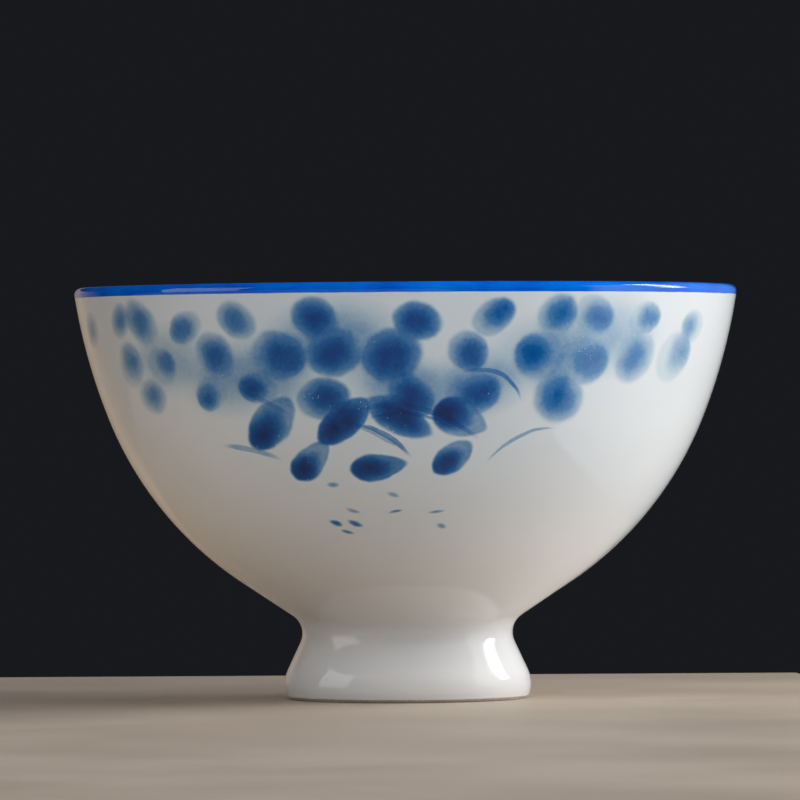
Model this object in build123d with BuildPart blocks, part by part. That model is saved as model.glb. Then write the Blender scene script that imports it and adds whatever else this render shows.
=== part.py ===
from build123d import *

import os

# A footed porcelain teacup: a thin bowl, a hollow flared foot luted under it with slip, a coat of
# clear glaze outside, inside and in the hollow of the foot, and a line of blue glaze on the lip.
# The frame is +Z up along the cup's axis, with the origin on the table at the centre of the foot.
# The whole cup is turned, so each piece is a half section revolved once about Z. Half sections are
# drawn flat, with X as the radius and Y as the height. Sizes are in millimetres.

# --- outside of the fired clay, before glaze, from the lip down to the foot: (radius, height) ---
LIP = (42.9, 53.25)
LIP_LEAN = 8.5  # degrees that the wall leans out at the lip
LIP_WIDTH = 1.3
LIP_ROUND = 0.6
BELLY = (38.25, 36.2)  # where the upright upper wall turns into the rounder lower wall
HEEL = (21.1, 15.2)  # where the lower wall runs on straight towards the foot
WAIST_ROUND = 3.0  # the hollow where bowl and foot meet
FOOT_FLARE = 25  # degrees that the foot leans out, going down
FOOT_BULGE = (15.4, 3.6)  # where the flare rounds over
FOOT_EDGE = 15.3  # outer radius of the face that the cup stands on
FOOT_EDGE_ROUND = 0.3

# --- inside of the fired clay ---
WELL_MOUTH = 13.6  # inner radius of the face that the cup stands on
CUP_FLOOR = 11.8
INNER_HEEL = (17.5, 15.7)
INNER_BELLY = (36.5, 36.0)

# --- the joint between bowl and foot ---
SEAT_HEIGHT = 9.4  # flat ring under the bowl that the foot is stuck to
BOSS_RADIUS = 11.2  # turned boss under the bowl that centres the foot
BOSS_FACE = 8.8  # height of the boss's face, which roofs the hollow of the foot
SLIP_THICKNESS = 0.25
SLIP_GAP = 0.2  # between the boss and the foot

# --- glaze ---
GLAZE = 0.25
BARE_HEIGHT = 0.4  # the foot is wiped clean this far up
RIM_LINE_HEIGHT = 1.3  # the blue line reaches this far down from the top

TOP = LIP[1] + GLAZE
CLEAR = LIP[0] + 10  # a radius outside everything


def zone(low_radius, low_height, high_radius, high_height, mode):
    """Cut the sketch being drawn by a rectangle, given by two opposite corners."""
    with Locations((low_radius, low_height)):
        Rectangle(
            high_radius - low_radius,
            high_height - low_height,
            align=(Align.MIN, Align.MIN),
            mode=mode,
        )


# --- all the clay, as if bowl, slip and foot were one ---
with BuildSketch() as clay:
    with BuildLine():
        down_at_lip = Vector(0, -1).rotate(Axis.Z, -LIP_LEAN)
        upper_wall = TangentArc(LIP, BELLY, tangent=down_at_lip)
        lower_wall = TangentArc(BELLY, HEEL, tangent=upper_wall % 1)
        flare_guide = PolarLine(FOOT_BULGE, TOP, 90 + FOOT_FLARE, mode=Mode.PRIVATE)
        straight_wall = IntersectingLine(HEEL, lower_wall % 1, flare_guide)
        flare = Line(straight_wall @ 1, FOOT_BULGE)
        bulge = TangentArc(FOOT_BULGE, (FOOT_EDGE, 0), tangent=flare % 1)
        foot_hollow = Polyline(
            bulge @ 1,
            (WELL_MOUTH, 0),
            (BOSS_RADIUS + SLIP_GAP, BOSS_FACE),
            (0, BOSS_FACE),
            (0, CUP_FLOOR),
        )
        floor = TangentArc(foot_hollow @ 1, INNER_HEEL, tangent=(1, 0))
        inner_lower = TangentArc(INNER_HEEL, INNER_BELLY, tangent=floor % 1)
        inner_lip = (LIP[0] - LIP_WIDTH, LIP[1])
        inner_upper = TangentArc(INNER_BELLY, inner_lip, tangent=inner_lower % 1)
        Line(inner_lip, LIP)
    make_face()
    waist_corner = clay.vertices().sort_by_distance(straight_wall @ 1)[0]
    fillet(waist_corner, WAIST_ROUND)
    fillet(clay.vertices().group_by(Axis.Y)[-1], LIP_ROUND)
    fillet(clay.vertices().group_by(Axis.Y)[0], FOOT_EDGE_ROUND)

# --- the clay divided where the foot is stuck on ---
with BuildSketch() as bowl_body:
    add(clay.sketch_local)
    zone(BOSS_RADIUS, 0, CLEAR, SEAT_HEIGHT, Mode.SUBTRACT)

with BuildSketch() as foot_ring:
    add(clay.sketch_local)
    zone(BOSS_RADIUS + SLIP_GAP, 0, CLEAR, SEAT_HEIGHT - SLIP_THICKNESS, Mode.INTERSECT)

with BuildSketch() as luting_slip:
    add(clay.sketch_local)
    add(bowl_body.sketch_local, mode=Mode.SUBTRACT)
    add(foot_ring.sketch_local, mode=Mode.SUBTRACT)

# --- the glaze: a coat on the clay, wiped off the foot's edge, with its top part blue ---
with BuildSketch() as coat:
    add(clay.sketch_local)
    offset(amount=GLAZE, kind=Kind.ARC)
    add(clay.sketch_local, mode=Mode.SUBTRACT)
    zone(0, BARE_HEIGHT, CLEAR, TOP, Mode.INTERSECT)

with BuildSketch() as rim_line:
    add(coat.sketch_local)
    zone(0, TOP - RIM_LINE_HEIGHT, CLEAR, TOP, Mode.INTERSECT)

with BuildSketch() as clear_coats:
    add(coat.sketch_local)
    add(rim_line.sketch_local, mode=Mode.SUBTRACT)

# sorted by how far out each reaches: the hollow of the foot, the inside, then the outside
clear_faces = clear_coats.faces().sort_by(lambda face: face.bounding_box().max.X)
well_glaze, inner_glaze, outer_glaze = clear_faces

HALF_SECTIONS = {
    "bowl_body": bowl_body.sketch_local,
    "foot_ring": foot_ring.sketch_local,
    "luting_slip": luting_slip.sketch_local,
    "outer_glaze": outer_glaze,
    "inner_glaze": inner_glaze,
    "well_glaze": well_glaze,
    "rim_line": rim_line.sketch_local,
}

# --- the pieces, each revolved and written to its own file ---
os.makedirs("parts", exist_ok=True)
for name, half_section in HALF_SECTIONS.items():
    with BuildPart() as piece:
        with BuildSketch(Plane.XZ):
            add(half_section)
        revolve(axis=Axis.Z)
    piece.part.label = name
    export_step(piece.part, f"parts/{name}.step")
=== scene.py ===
"""The looks of a footed porcelain teacup with soft blue painting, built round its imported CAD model.

Every piece is turned afresh from the half section of its CAD node, as even quads, and warped a
little, as a fired cup is. Lengths are in metres, and MM turns millimetres into them. Places on the
cup are given as degrees round the axis, 0 at the front (-Y) and growing towards +X, and a height.
"""

import math
import random

import bmesh
import bpy
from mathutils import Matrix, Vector


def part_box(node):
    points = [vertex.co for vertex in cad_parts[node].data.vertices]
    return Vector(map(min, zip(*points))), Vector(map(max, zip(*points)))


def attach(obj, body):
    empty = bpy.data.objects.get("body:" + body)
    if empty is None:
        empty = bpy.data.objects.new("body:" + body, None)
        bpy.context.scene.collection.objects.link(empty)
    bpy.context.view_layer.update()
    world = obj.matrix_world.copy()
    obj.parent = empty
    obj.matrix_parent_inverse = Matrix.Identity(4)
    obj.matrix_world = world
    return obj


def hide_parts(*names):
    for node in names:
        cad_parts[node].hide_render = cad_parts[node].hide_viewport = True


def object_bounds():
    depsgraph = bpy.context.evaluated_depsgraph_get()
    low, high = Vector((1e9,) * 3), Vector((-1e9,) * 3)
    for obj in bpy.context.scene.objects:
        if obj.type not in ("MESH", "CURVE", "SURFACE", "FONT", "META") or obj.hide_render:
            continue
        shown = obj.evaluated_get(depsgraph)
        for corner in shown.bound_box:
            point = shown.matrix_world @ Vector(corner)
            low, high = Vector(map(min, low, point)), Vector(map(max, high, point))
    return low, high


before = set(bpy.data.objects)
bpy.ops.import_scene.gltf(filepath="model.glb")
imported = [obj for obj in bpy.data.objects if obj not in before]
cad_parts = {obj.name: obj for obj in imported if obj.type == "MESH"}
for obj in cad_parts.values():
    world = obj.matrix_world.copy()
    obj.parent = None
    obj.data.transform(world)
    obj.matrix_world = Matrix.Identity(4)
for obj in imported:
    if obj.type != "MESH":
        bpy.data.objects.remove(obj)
cad_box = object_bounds()

MM = 0.001
CUP_HEIGHT = cad_box[1].z


# --- camera: level, a long way off, a little below the rim ---

CAMERA_DISTANCE = 0.9
CAMERA_HEIGHT = 0.74 * CUP_HEIGHT
CAMERA_ROLL = -0.35  # degrees
CAMERA_AIM = (-0.8 * MM, 0, CAMERA_HEIGHT - 0.85 * MM)
FRAME_WIDTH = 104 * MM  # what the picture takes in at the axis


def make_camera():
    data = bpy.data.cameras.new("camera")
    data.sensor_width = 36
    data.lens = data.sensor_width * CAMERA_DISTANCE / FRAME_WIDTH
    camera = bpy.data.objects.new("camera", data)
    camera.location = (0, -CAMERA_DISTANCE, CAMERA_HEIGHT)
    sight = Vector(CAMERA_AIM) - camera.location
    camera.rotation_euler = sight.to_track_quat("-Z", "Y").to_euler()
    camera.rotation_euler.rotate_axis("Z", math.radians(CAMERA_ROLL))
    bpy.context.collection.objects.link(camera)
    bpy.context.scene.camera = camera


# --- half sections, read from the CAD nodes ---

WELD = 0.0001 * MM
CORNER = math.radians(25)


def outline(node):
    """(radius, height) points round a turned node's half section, in order, and whether it closes.

    They are the mesh's points on the seam at +X. One that doesn't close starts and ends on the axis.
    """
    mesh = bmesh.new()
    mesh.from_mesh(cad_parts[node].data)
    bmesh.ops.remove_doubles(mesh, verts=mesh.verts, dist=WELD)
    beside = {}
    for edge in mesh.edges:
        if all(abs(vert.co.y) < WELD and vert.co.x > -WELD for vert in edge.verts):
            one, other = edge.verts
            beside.setdefault(one, []).append(other)
            beside.setdefault(other, []).append(one)
    start = min(beside, key=lambda vert: (len(beside[vert]), vert.co.z))
    walk = [start]
    while True:
        onward = [vert for vert in beside[walk[-1]] if vert not in walk[-2:]]
        if not onward or onward[0] is start:
            break
        walk.append(onward[0])
    closes = len(beside[start]) == 2
    points = [Vector((vert.co.x, vert.co.z)) for vert in walk]
    mesh.free()
    if not closes:
        points = [Vector((0, points[0].y))] + points + [Vector((0, points[-1].y))]
        points = [here for here, last in zip(points, [None] + points) if here != last]
    return points, closes


def refined(points, closes, spacing):
    """The outline with its long steps divided, as a smooth curve between its corners."""
    count = len(points)
    steps = [points[(i + 1) % count] - points[i] for i in range(count if closes else count - 1)]
    leaving = [step.normalized() for step in steps]
    arriving = list(leaving)
    for i in range(len(steps)):
        if i == 0 and not closes:
            continue
        before, after = steps[i - 1], steps[i]
        if before.angle(after) < CORNER:
            leaving[i] = arriving[i - 1] = (before + after).normalized()
    result = []
    for i, step in enumerate(steps):
        pieces = max(1, math.ceil(step.length / spacing))
        start, end = points[i], points[(i + 1) % count]
        for k in range(pieces):
            t = k / pieces
            result.append(
                start * (1 + 2 * t) * (1 - t) ** 2
                + end * t * t * (3 - 2 * t)
                + leaving[i] * step.length * t * (1 - t) ** 2
                + arriving[i] * step.length * t * t * (t - 1)
            )
    if not closes:
        result.append(points[-1])
    return result


# --- turning ---

OVAL = 0.0016  # how much narrower the rim is one way than the other, as a share of its radius
OVAL_TURN = 0.9  # radians that set which way that is
DIP = 0.05 * MM  # how much lower the rim is at -X than at +X
HIDDEN_REACH = 0.08 * MM  # a glaze point this near the clay is on the side that doesn't show
HIDDEN_SHARE = 0.03  # how much of its length a hidden step gets across the texture
STRIP = 0.49  # how much of the texture's height each of its two strips takes


def warped(radius, height, angle):
    """A point of the turned shape, moved as the cup warped in the kiln: inwards or down only."""
    height = max(height, 0)  # a refined curve can dip a hair below the table
    rise = (height / CUP_HEIGHT) ** 3
    radius *= 1 - OVAL * rise * (1 + math.cos(2 * angle + OVAL_TURN)) / 2
    height -= DIP * rise * (1 - math.cos(angle)) / 2
    return (radius * math.cos(angle), radius * math.sin(angle), height)


def distance_to(point, path):
    """How far a (radius, height) point is from a path of them."""
    best = math.inf
    for start, end in zip(path, path[1:]):
        step = end - start
        share = max(0.0, min(1.0, (point - start).dot(step) / step.length_squared))
        best = min(best, (point - start - step * share).length)
    return best


def strip_heights(path, closes, hidden):
    """Where each point of the path is across a texture strip, 0 to 1, with hidden steps squeezed."""
    count = len(path)
    heights = [0.0]
    for i in range(count if closes else count - 1):
        j = (i + 1) % count
        share = HIDDEN_SHARE if hidden[i] and hidden[j] else 1.0
        heights.append(heights[-1] + share * (path[j] - path[i]).length)
    return [height / heights[-1] for height in heights]


def turned(node, spacing, around, hidden_sides=()):
    """A new mesh object for a CAD node: its half section turned about Z in even quads."""
    points, closes = outline(node)
    path = refined(points, closes, spacing)
    hidden = [any(distance_to(point, side) < HIDDEN_REACH for side in hidden_sides) for point in path]
    across = strip_heights(path, closes, hidden)
    vertices = []
    rings = []  # each ring's vertex numbers, the same one all round for a point on the axis
    for point in path:
        first = len(vertices)
        if point.x < WELD:
            vertices.append(warped(0, point.y, 0))
            rings.append([first] * around)
        else:
            vertices += [warped(point.x, point.y, math.tau * k / around) for k in range(around)]
            rings.append(list(range(first, first + around)))
    faces = []
    places = []  # each face corner's place in the texture: front half in one strip, back in another
    for i in range(len(path) if closes else len(path) - 1):
        ring, following = rings[i], rings[(i + 1) % len(path)]
        for k in range(around):
            row = 0 if k < around // 2 else 1
            left = (k - row * around // 2) * 2 / around
            right = left + 2 / around
            low, high = (0.5 * row + STRIP * across[i], 0.5 * row + STRIP * across[i + 1])
            corners = {}
            for vertex, place in (
                (ring[k], (left, low)),
                (ring[(k + 1) % around], (right, low)),
                (following[(k + 1) % around], (right, high)),
                (following[k], (left, high)),
            ):
                corners.setdefault(vertex, place)
            faces.append(tuple(corners))
            places += corners.values()
    mesh = bpy.data.meshes.new(node)
    mesh.from_pydata(vertices, [], faces)
    layer = mesh.uv_layers.new(name="OFBake")
    for corner, place in zip(layer.data, places):
        corner.uv = place
    outside_in = bmesh.new()
    outside_in.from_mesh(mesh)
    bmesh.ops.recalc_face_normals(outside_in, faces=outside_in.faces)
    outside_in.to_mesh(mesh)
    outside_in.free()
    mesh.shade_smooth()
    mesh.set_sharp_from_angle(angle=CORNER)
    piece = bpy.data.objects.new("cup_" + node, mesh)
    bpy.context.collection.objects.link(piece)
    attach(piece, "root")
    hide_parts(node)
    return piece


# --- writing shader nodes ---


class Tree:
    """A node tree being written. Each call adds one node and gives back its output."""

    def __init__(self, tree):
        self.nodes = tree.nodes
        self.links = tree.links

    def node(self, kind, inputs=None, output=0, **settings):
        new = self.nodes.new(kind)
        for name, value in settings.items():
            setattr(new, name, value)
        for socket, value in (inputs or {}).items():
            if isinstance(value, bpy.types.NodeSocket):
                self.links.new(value, new.inputs[socket])
            else:
                new.inputs[socket].default_value = value
        return new.outputs[output]

    def math(self, operation, *values):
        return self.node("ShaderNodeMath", dict(enumerate(values)), operation=operation)

    def vector(self, operation, *values, output=0):
        return self.node("ShaderNodeVectorMath", dict(enumerate(values)), output, operation=operation)

    def noise(self, position, size, detail=2.0, output=0):
        """Noise with lumps of about that size."""
        inputs = {"Vector": position, "Scale": 1 / size, "Detail": detail}
        return self.node("ShaderNodeTexNoise", inputs, output)

    def ramp(self, value, low, high, to_low=0.0, to_high=1.0, smooth=True):
        """The value carried from low..high to to_low..to_high, and held there beyond."""
        inputs = {"Value": value, "From Min": low, "From Max": high, "To Min": to_low, "To Max": to_high}
        kind = "SMOOTHSTEP" if smooth else "LINEAR"
        return self.node("ShaderNodeMapRange", inputs, interpolation_type=kind)

    def mix(self, share, one, other, blend="MIX"):
        """A blend of two colours, which are the node's sockets 6 and 7. Its output 2 is the colour."""
        inputs = {"Factor": share, 6: one, 7: other}
        return self.node("ShaderNodeMix", inputs, 2, data_type="RGBA", blend_type=blend)

    def colours(self, value, stops):
        """A colour ramp through (position, colour) stops."""
        output = self.node("ShaderNodeValToRGB", {"Fac": value})
        elements = output.node.color_ramp.elements
        while len(elements) < len(stops):
            elements.new(0.5)
        for element, (position, colour) in zip(elements, stops):
            element.position = position
            element.color = (*colour, 1)
        return output

    def position(self):
        return self.node("ShaderNodeTexCoord", output="Object")


def new_material(name, **surface):
    """A Principled material with those constant sockets, as (material, its tree, its shader)."""
    material = bpy.data.materials.new(name)
    material.use_nodes = True
    shader = material.node_tree.nodes["Principled BSDF"]
    for socket, value in surface.items():
        shader.inputs[socket.replace("_", " ").title().replace("Ior", "IOR")].default_value = value
    return material, Tree(material.node_tree), shader


# --- painting ---

# The painting is two generic sprays, front and back: staggered rows of soft dabs under the rim, over
# thin wash, with crisper leaves, thin tendrils and small drips below. Loops and seeded draws place
# the marks. Until mark() turns them into metres, heights, lengths and widths here are in
# millimetres. Darkness is 1 for solid cobalt.

SPRAYS = (  # degrees round to its middle, degrees it reaches to each side, how dark it is
    (-3, 72, 1.0),
    (180, 60, 0.72),
)
DAB_ROWS = (  # height, reach as a share of the spray's, degrees between dabs, shift in such steps
    (48.4, 1.00, 10.8, 0.3),
    (44.1, 0.90, 11.6, 0.8),
    (39.8, 0.74, 13.4, 0.2),
)
WASH_REACH = 0.68  # as a share of the spray's
WASH_STEP = 12  # degrees between marks
LEAF_ROWS = (  # height, reach as a share of the spray's, degrees between leaves, length
    (35.8, 0.40, 12.5, 8.4),
    (30.8, 0.32, 13.5, 6.6),
)
WHITE_GAPS = 0.10  # the share of dabs left out
TENDRILS = 9
DRIPS = 9
SEED = 11

PIGMENT_COLOURS = (  # the colour of the glaze over that much pigment
    (0.00, (0.800, 0.790, 0.770)),
    (0.15, (0.580, 0.655, 0.685)),
    (0.30, (0.320, 0.450, 0.570)),
    (0.50, (0.085, 0.240, 0.460)),
    (0.75, (0.008, 0.125, 0.360)),
    (1.00, (0.000, 0.066, 0.260)),
    (1.50, (0.000, 0.020, 0.115)),
)
MOST_PIGMENT = PIGMENT_COLOURS[-1][0]
RIM_BLUE = (0.000, 0.170, 0.78)

MARK_INPUTS = {
    "Position": "NodeSocketVector",
    "Centre": "NodeSocketVector",
    "Along": "NodeSocketVector",
    "Across": "NodeSocketVector",
    "Out": "NodeSocketVector",
    "Bend": "NodeSocketFloat",
    "Taper": "NodeSocketFloat",
    "Bluntness": "NodeSocketFloat",
    "Outer Edge": "NodeSocketFloat",
    "Inner Edge": "NodeSocketFloat",
    "Heart": "NodeSocketFloat",
    "Pale": "NodeSocketFloat",
    "Dark": "NodeSocketFloat",
    "Pigment": "NodeSocketFloat",
}
HEART_REACH = 1.2  # how far a mark's dark heart reaches, squared, in half lengths and half widths
OVERLAP = 0.35  # how much of the paler of two marks shows where they overlap
TRACE = 1e-9  # far too little to move a mark


def make_mark_group():
    """A node group that lays one brush mark: it adds the mark's pigment to what is already there."""
    group = bpy.data.node_groups.new("brush_mark", "ShaderNodeTree")
    for name, kind in MARK_INPUTS.items():
        group.interface.new_socket(name, in_out="INPUT", socket_type=kind)
    group.interface.new_socket("Pigment", in_out="OUTPUT", socket_type="NodeSocketFloat")
    tree = Tree(group)
    given = group.nodes.new("NodeGroupInput").outputs
    # A trace of the pigment so far makes each mark wait for the one before. Cycles would otherwise
    # hold half-made marks all at once, and has room for about 120.
    place = tree.vector("MULTIPLY_ADD", given["Pigment"], (TRACE,) * 3, given["Position"])
    offset = tree.vector("SUBTRACT", place, given["Centre"])
    along = tree.vector("DOT_PRODUCT", offset, given["Along"], output="Value")
    across = tree.vector("DOT_PRODUCT", offset, given["Across"], output="Value")
    out = tree.vector("DOT_PRODUCT", offset, given["Out"], output="Value")
    along_squared = tree.math("MULTIPLY", along, along)
    lifted = tree.math("MULTIPLY_ADD", along_squared, given["Bend"], across)
    straightened = tree.math("SUBTRACT", lifted, given["Bend"])
    width = tree.math("MULTIPLY_ADD", along, given["Taper"], 1.0)
    side = tree.math("ABSOLUTE", tree.math("DIVIDE", straightened, width))
    rounded = tree.math("POWER", side, given["Bluntness"])
    flat_reach = tree.math("ADD", along_squared, rounded)
    reach = tree.math("MULTIPLY_ADD", out, out, flat_reach)
    cover = tree.ramp(reach, given["Outer Edge"], given["Inner Edge"])
    from_heart = tree.math("SUBTRACT", along, given["Heart"])
    side_squared = tree.math("MULTIPLY", side, side)
    heart_distance = tree.math("MULTIPLY_ADD", from_heart, from_heart, side_squared)
    nearness = tree.ramp(heart_distance, HEART_REACH, 0.0, smooth=False)
    heart = tree.math("MULTIPLY", nearness, nearness)
    darkening = tree.math("SUBTRACT", given["Dark"], given["Pale"])
    depth = tree.math("MULTIPLY_ADD", heart, darkening, given["Pale"])
    laid = tree.math("MULTIPLY", cover, depth)
    deeper = tree.math("MAXIMUM", laid, given["Pigment"])
    paler = tree.math("MINIMUM", laid, given["Pigment"])
    both = tree.math("MULTIPLY_ADD", paler, OVERLAP, deeper)
    result = group.nodes.new("NodeGroupOutput")
    group.links.new(both, result.inputs["Pigment"])
    return group


def wall_at(height):
    """(radius, lean) of the cup's outer wall at a height."""
    best = (0.0, 0.0)
    for start, end in zip(OUTER_WALL, OUTER_WALL[1:]):
        if min(start.y, end.y) <= height <= max(start.y, end.y) and start.y != end.y:
            share = (height - start.y) / (end.y - start.y)
            radius = start.x + share * (end.x - start.x)
            best = max(best, (radius, math.atan((end.x - start.x) / (end.y - start.y))))
    return best


def spread(reach, step, shift):
    """Degrees from one side's reach to the other's, a step apart and moved on by a share of a step."""
    return [shift * step + k * step - reach for k in range(int(2 * reach / step))]


class Painter:
    """Lays brush marks one after another on the outside of the cup, as shader nodes."""

    REACH_OUT = 15 * MM  # a mark doesn't show further than this from the wall it is on

    def __init__(self, tree, position):
        self.tree = tree
        self.position = position
        self.pigment = 0.0
        self.group = make_mark_group()

    def mark(self, place, size, turn, pale, dark, edge, heart=0.0, taper=0.0, blunt=2.0, bow=0.0):
        """One mark, turned by that many degrees from level, on top of those laid before.

        It is darkest at its heart, which lies from -1 at its near end to 1 at its far end. Edge is how
        soft its rim is, and taper is how much wider its far end is, as shares of its half width.
        Blunt is 1 for a pointed leaf, 2 for an oval and more for squarer ends. Bow is how far its
        middle stands off the line between its ends.
        """
        degrees, height = place
        length, width = size
        radius, lean = wall_at(height * MM)
        angle = math.radians(degrees)
        outward = Vector((math.sin(angle), -math.cos(angle), 0))
        right = Vector((math.cos(angle), math.sin(angle), 0))
        up = outward * math.sin(lean) + Vector((0, 0, math.cos(lean)))
        turn = math.radians(turn)
        inputs = {
            "Position": self.position,
            "Centre": outward * radius + Vector((0, 0, height * MM)),
            "Along": (right * math.cos(turn) + up * math.sin(turn)) / (length * MM / 2),
            "Across": (up * math.cos(turn) - right * math.sin(turn)) / (width * MM / 2),
            "Out": right.cross(up) / self.REACH_OUT,
            "Bend": bow * 2 / width,
            "Taper": taper,
            "Bluntness": blunt,
            "Outer Edge": 1 + edge,
            "Inner Edge": 1 - edge,
            "Heart": heart,
            "Pale": pale,
            "Dark": dark,
            "Pigment": self.pigment,
        }
        self.pigment = self.tree.node("ShaderNodeGroup", inputs, node_tree=self.group)

    def wash(self, middle, reach, strength, dice):
        """Thin wash: wide, soft marks, paler towards the sides."""
        for offset in spread(WASH_REACH * reach, WASH_STEP, 0.5):
            place = (middle + offset + dice.uniform(-3, 3), dice.uniform(40.5, 46.5))
            size = (dice.uniform(11, 16), dice.uniform(7, 10))
            dark = strength * (0.42 - 0.26 * abs(offset) / reach)
            turn = dice.uniform(-20, 20)
            self.mark(place, size, turn, 0.5 * dark, dark, edge=0.8)

    def dabs(self, middle, reach, strength, dice):
        """Rows of round dabs, darker towards the middle of the spray, with a few left out."""
        for height, share, step, shift in DAB_ROWS:
            for offset in spread(share * reach, step, shift):
                place = (middle + offset + dice.uniform(-2.4, 2.4), height + dice.uniform(-0.9, 0.9))
                length = dice.uniform(5.6, 8.0)
                width = length * dice.uniform(0.70, 0.90)
                turn = dice.uniform(-45, 45)
                heart = dice.uniform(-0.3, 0.4)
                nearness = 1 - abs(offset) / reach
                dark = strength * (0.32 + 0.74 * nearness * dice.uniform(0.75, 1.15))
                pale = 0.06 + 0.26 * dark * dark
                if dice.random() > WHITE_GAPS:
                    self.mark(place, (length, width), turn, pale, dark, edge=0.27, heart=heart)

    def leaves(self, middle, reach, strength, dice):
        """Two rows of leaves, darker and with crisper edges than the dabs."""
        for height, share, step, length in LEAF_ROWS:
            for offset in spread(share * reach, step, 0.5):
                place = (middle + offset + dice.uniform(-2, 2), height + dice.uniform(-1, 1))
                size = (length * dice.uniform(0.85, 1.15), length * dice.uniform(0.48, 0.62))
                turn = dice.uniform(-40, 50)
                pale = strength * dice.uniform(0.24, 0.60)
                dark = strength * dice.uniform(1.15, 1.40)
                heart = dice.uniform(-0.6, 0.2)
                taper = dice.uniform(-0.4, 0.1)
                self.mark(place, size, turn, pale, dark, 0.20, heart, taper, blunt=1.7)

    def tendrils(self, middle, reach, strength, dice):
        """Thin bowed strokes among the leaves."""
        for _ in range(TENDRILS):
            place = (middle + dice.uniform(-0.42, 0.42) * reach, dice.uniform(30, 42))
            size = (dice.uniform(6, 11), dice.uniform(0.45, 0.90))
            dark = strength * dice.uniform(0.22, 0.45)
            turn = dice.uniform(-45, 45)
            bow = dice.uniform(-1.4, 1.4)
            self.mark(place, size, turn, dark, dark, edge=0.6, blunt=4.0, bow=bow)

    def drips(self, middle, reach, strength, dice):
        """Small specks below the leaves."""
        for _ in range(DRIPS):
            place = (middle + dice.uniform(-0.2, 0.2) * reach, dice.uniform(22, 28.5))
            size = (dice.uniform(1.2, 2.2), dice.uniform(0.5, 0.9))
            dark = strength * dice.uniform(0.3, 0.7)
            turn = dice.uniform(-30, 30)
            self.mark(place, size, turn, 0.4 * dark, dark, edge=0.5, blunt=1.5)

    def paint(self):
        """All the marks of both sprays, in the order they are laid. They share one seeded draw."""
        dice = random.Random(SEED)
        for spray in SPRAYS:
            self.wash(*spray, dice)
            self.dabs(*spray, dice)
            self.leaves(*spray, dice)
            self.tendrils(*spray, dice)
            self.drips(*spray, dice)


# --- materials ---

GLAZE_IOR = 1.46
CLAY_IOR = 1.45


def glaze_surface(tree, shader, place):
    """The fine unevenness of fired glaze: a little orange peel, and gloss that comes and goes."""
    patches = tree.noise(place, 9 * MM, detail=2)
    tree.links.new(tree.ramp(patches, 0.3, 0.7, 0.025, 0.055), shader.inputs["Roughness"])
    peel = tree.noise(place, 1.6 * MM, detail=1)
    bump = {"Height": peel, "Strength": 0.25, "Distance": 0.004 * MM}
    tree.links.new(tree.node("ShaderNodeBump", bump), shader.inputs["Normal"])


def body_tint(tree, place, colour):
    """The porcelain's own faint patches, warmer and cooler."""
    patches = tree.noise(place, 14 * MM, detail=3)
    tinted = tree.mix(tree.ramp(patches, 0.3, 0.7), (1, 1, 1, 1), (0.972, 0.976, 0.985, 1))
    return tree.mix(1.0, colour, tinted, blend="MULTIPLY")


def pinholes_and_glints(tree, place):
    """1, but less in tiny dots in some patches of the painting: pits in the glaze, partly real and
    partly painted glints of light.
    """
    nearest = tree.node("ShaderNodeTexVoronoi", {"Vector": place, "Scale": 1 / (0.8 * MM)})
    # Painted glints: tiny dots where the pigment is taken out, standing in for light glinting off the
    # glaze's pits.
    bubble_glint = tree.ramp(nearest, 0.13, 0.06)
    patch = tree.ramp(tree.noise(place, 6 * MM, detail=1), 0.58, 0.66)
    return tree.math("MULTIPLY_ADD", tree.math("MULTIPLY", bubble_glint, patch), -0.7, 1.0)


def painted_glaze():
    material, tree, shader = new_material("painted_glaze", ior=GLAZE_IOR)
    place = tree.position()
    drift = tree.noise(place, 3.5 * MM, detail=3, output="Color")
    centred = tree.vector("SUBTRACT", drift, (0.5, 0.5, 0.5))
    wandering = tree.vector("MULTIPLY_ADD", centred, (0.75 * MM,) * 3, place)
    painter = Painter(tree, wandering)
    painter.paint()
    grain = tree.ramp(tree.noise(place, 0.45 * MM, detail=2), 0.3, 0.7, 0.95, 1.05)
    wash = tree.ramp(tree.noise(place, 2.4 * MM, detail=2), 0.3, 0.7, 0.91, 1.08)
    laid = tree.math("MULTIPLY", painter.pigment, tree.math("MULTIPLY", grain, wash))
    # The painting loses pigment in tiny dots, partly real pits and partly painted glints.
    pigment = tree.math("MULTIPLY", laid, pinholes_and_glints(tree, place))
    share = tree.math("DIVIDE", pigment, MOST_PIGMENT)
    stops = [(amount / MOST_PIGMENT, colour) for amount, colour in PIGMENT_COLOURS]
    colour = body_tint(tree, place, tree.colours(share, stops))
    height = tree.node("ShaderNodeSeparateXYZ", {"Vector": place}, "Z")
    ragged = tree.noise(place, 4 * MM, detail=3)
    bleed = tree.math("MULTIPLY_ADD", ragged, 0.4 * MM, height)
    line_foot = CUP_HEIGHT - RIM_LINE_HEIGHT
    blue = tree.ramp(bleed, line_foot + 0.10 * MM, line_foot + 0.32 * MM)
    colour = tree.mix(blue, colour, (*RIM_BLUE, 1))
    tree.links.new(colour, shader.inputs["Base Color"])
    glaze_surface(tree, shader, place)
    return material


def plain_glaze():
    material, tree, shader = new_material("plain_glaze", ior=GLAZE_IOR)
    place = tree.position()
    colour = body_tint(tree, place, (*PIGMENT_COLOURS[0][1], 1))
    tree.links.new(colour, shader.inputs["Base Color"])
    glaze_surface(tree, shader, place)
    return material


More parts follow.
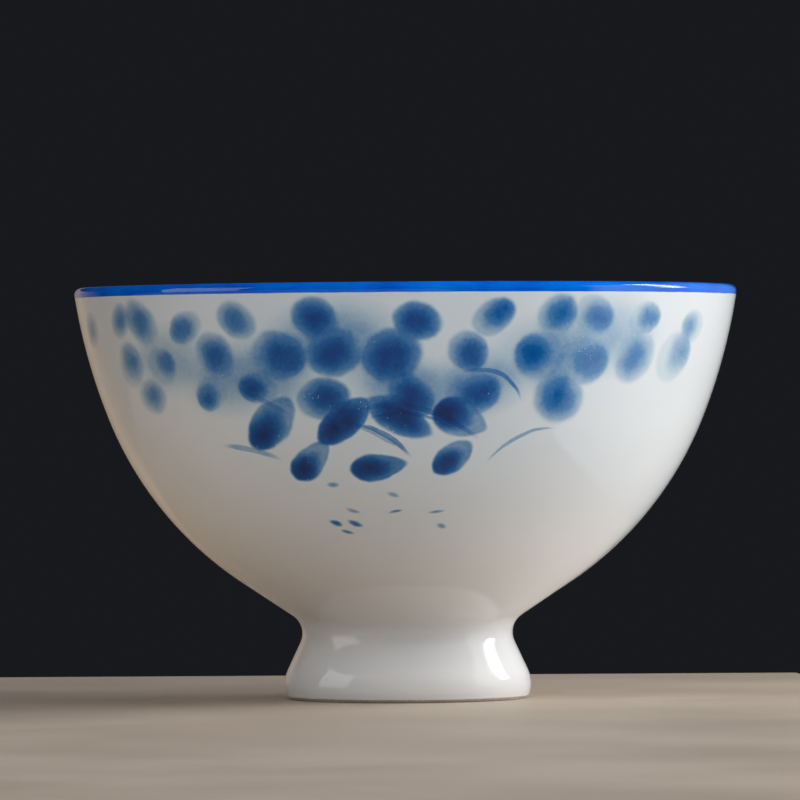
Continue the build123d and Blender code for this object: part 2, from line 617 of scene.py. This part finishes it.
def blue_glaze():
    """The line on the lip, brushed on while the cup turned: it thins and pools along its length."""
    material, tree, shader = new_material("blue_glaze", ior=GLAZE_IOR)
    place = tree.position()
    pools = tree.noise(place, 7 * MM, detail=3)
    brushed = tree.vector("MULTIPLY", place, (1.0, 1.0, 12.0))
    bristles = tree.noise(brushed, 3 * MM, detail=2)
    thickness = tree.math("MULTIPLY_ADD", bristles, 0.4, pools)
    stops = (
        (0.30, (0.002, 0.24, 0.88)),
        (0.55, RIM_BLUE),
        (0.90, (0.000, 0.090, 0.60)),
    )
    colour = tree.colours(thickness, stops)
    tree.links.new(colour, shader.inputs["Base Color"])
    glaze_surface(tree, shader, place)
    return material


def fired_clay(name, pale, dark, grain):
    """Unglazed clay: matt, sandy and speckled."""
    material, tree, shader = new_material(name, ior=CLAY_IOR)
    place = tree.position()
    sand = tree.noise(place, grain, detail=4)
    patches = tree.noise(place, 12 * grain, detail=2)
    shade = tree.math("MULTIPLY_ADD", sand, 0.7, tree.math("MULTIPLY", patches, 0.3))
    colour = tree.mix(tree.ramp(shade, 0.35, 0.65), (*dark, 1), (*pale, 1))
    tree.links.new(colour, shader.inputs["Base Color"])
    tree.links.new(tree.ramp(sand, 0.3, 0.7, 0.95, 0.70), shader.inputs["Roughness"])
    bump = {"Height": sand, "Strength": 0.6, "Distance": 0.15 * grain}
    tree.links.new(tree.node("ShaderNodeBump", bump), shader.inputs["Normal"])
    return material


# --- stage ---


def area_light(name, place, target, size, power, colour):
    data = bpy.data.lights.new(name, "AREA")
    data.shape = "RECTANGLE"
    data.size, data.size_y = size
    data.energy = power
    data.color = colour
    light = bpy.data.objects.new(name, data)
    light.location = place
    light.rotation_euler = (Vector(target) - Vector(place)).to_track_quat("-Z", "Y").to_euler()
    light.visible_camera = False
    bpy.context.collection.objects.link(light)
    return light


# How bright the window is from its near side to its far side, as (place across, brightness).
WINDOW_BRIGHTNESS = (
    (0.00, 0.0),
    (0.10, 1.0),
    (0.32, 0.80),
    (0.52, 0.40),
    (0.75, 0.15),
    (1.00, 0.04),
)
WARM = (1.0, 0.72, 0.44)
COOL = (0.82, 0.89, 1.0)
BLUE_SKY = (0.20, 0.66, 1.0)
WHITE = (1, 1, 1)
BACKDROP = (0.0092, 0.0098, 0.0118)
FLOOR_CORNERS = ((-0.36, -0.34, -0.03), (0.056, 0.075, 0))
FLOOR_DARK = (0.385, 0.31, 0.245)
FLOOR_PALE = (0.44, 0.36, 0.29)
SOFT_EDGES = (
    (0.00, 0.0),
    (0.50, 1.0),
    (1.00, 0.0),
)


def fade_along(light, brightness):
    """Make an area light's brightness change across its width."""
    light.data.use_nodes = True
    tree = Tree(light.data.node_tree)
    emission = light.data.node_tree.nodes["Emission"]
    across = tree.node("ShaderNodeNewGeometry", output="Parametric")
    share = tree.node("ShaderNodeSeparateXYZ", {"Vector": across}, "X")
    shade = tree.colours(share, [(place, (level,) * 3) for place, level in brightness])
    tree.links.new(shade, emission.inputs["Color"])


def make_lights():
    middle = (0, 0, 0.5 * CUP_HEIGHT)
    window = area_light("window", (0.64, 0.30, -0.15), (0, 0, -0.15), (1.7, 1.6), 15, (0.89, 0.95, 1.0))
    fade_along(window, WINDOW_BRIGHTNESS)
    strip = area_light("window_strip", (0.50, 0.13, 0.28), middle, (0.19, 0.34), 3.2, WHITE)
    fade_along(strip, SOFT_EDGES)
    left_pane = area_light("left_pane", (-0.652, -0.186, 0.184), middle, (0.42, 0.50), 1.3, WHITE)
    left_pane.visible_diffuse = False
    glow = area_light("left_glow", (-0.36, 0.80, -0.05), (0, 0, 0), (0.9, 0.5), 0.65, (1.0, 0.74, 0.52))
    fade_along(glow, SOFT_EDGES)
    for name, place, target, size, power, colour in (
        ("skylight", (0.54, -0.26, 0.62), middle, (0.6, 0.5), 3.2, WHITE),
        ("right_bounce", (0.043, -0.010, 0.003), (0.043, -0.010, 1), (0.05, 0.12), 0.008, WHITE),
        ("left_bounce", (-0.050, -0.012, 0.003), (-0.050, -0.012, 1), (0.04, 0.09), 0.004, WARM),
        ("front_bounce", (0.0, -0.13, 0.003), (0.0, -0.13, 1), (0.26, 0.10), 0.045, BLUE_SKY),
        ("left_fill", (-0.55, -0.45, 0.45), middle, (0.6, 0.5), 1.3, WHITE),
        ("high_fill", (0.10, -0.75, 0.60), middle, (0.8, 0.6), 2.6, COOL),
        ("back_fill", (-0.35, 0.85, 0.35), middle, (0.8, 0.6), 1.5, WHITE),
    ):
        fill = area_light(name, place, target, size, power, colour)
        fill.visible_glossy = False


def make_world():
    world = bpy.data.worlds.new("world")
    world.use_nodes = True
    world.node_tree.nodes["Background"].inputs["Color"].default_value = (*BACKDROP, 1)
    bpy.context.scene.world = world


def make_floor():
    """A plain pale slab that the cup stands on."""
    low, high = (Vector(corner) for corner in FLOOR_CORNERS)
    slab = bmesh.new()
    bmesh.ops.create_cube(slab, size=1)
    for vert in slab.verts:
        vert.co = [(a + b) / 2 + side * (b - a) for a, b, side in zip(low, high, vert.co)]
    bmesh.ops.bevel(slab, geom=slab.edges, offset=1.5 * MM, segments=3, profile=0.5, affect="EDGES")
    mesh = bpy.data.meshes.new("floor")
    slab.to_mesh(mesh)
    slab.free()
    mesh.shade_smooth()
    mesh.set_sharp_from_angle(angle=CORNER)
    material, tree, shader = new_material("floor")
    place = tree.position()
    clouds = tree.ramp(tree.noise(place, 45 * MM, detail=4), 0.3, 0.7)
    colour = tree.mix(clouds, (*FLOOR_DARK, 1), (*FLOOR_PALE, 1))
    tree.links.new(colour, shader.inputs["Base Color"])
    tree.links.new(tree.ramp(clouds, 0.0, 1.0, 0.50, 0.62), shader.inputs["Roughness"])
    mesh.materials.append(material)
    floor = bpy.data.objects.new("floor", mesh)
    bpy.context.collection.objects.link(floor)


# --- build ---

make_camera()
make_world()
make_lights()
make_floor()
bpy.context.scene.view_settings.view_transform = "Standard"

OUTER_WALL = outline("outer_glaze")[0]
RIM_LINE_HEIGHT = CUP_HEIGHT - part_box("rim_line")[0].z
painted = painted_glaze()
plain = plain_glaze()
blue = blue_glaze()
biscuit = fired_clay("biscuit", (0.76, 0.72, 0.65), (0.60, 0.55, 0.47), 0.35 * MM)
slip = fired_clay("slip", (0.78, 0.75, 0.69), (0.66, 0.62, 0.55), 0.2 * MM)

clay_sides = []
for node in ("bowl_body", "foot_ring"):
    path, closes = outline(node)
    clay_sides.append(path + path[:1] if closes else path)

for node, spacing, around, material, slot in (
    ("bowl_body", 2.5 * MM, 144, biscuit, "biscuit"),
    ("foot_ring", 1.2 * MM, 240, biscuit, "biscuit"),
    ("luting_slip", 1.2 * MM, 144, slip, "slip"),
    ("outer_glaze", 1.0 * MM, 288, painted, "clear_glaze"),
    ("inner_glaze", 1.2 * MM, 240, plain, "clear_glaze"),
    ("well_glaze", 1.2 * MM, 144, plain, "clear_glaze"),
    ("rim_line", 0.5 * MM, 360, blue, "blue_glaze"),
):
    sides = clay_sides if slot.endswith("glaze") else ()
    piece = turned(node, spacing, around, sides)
    piece.data.materials.append(material)
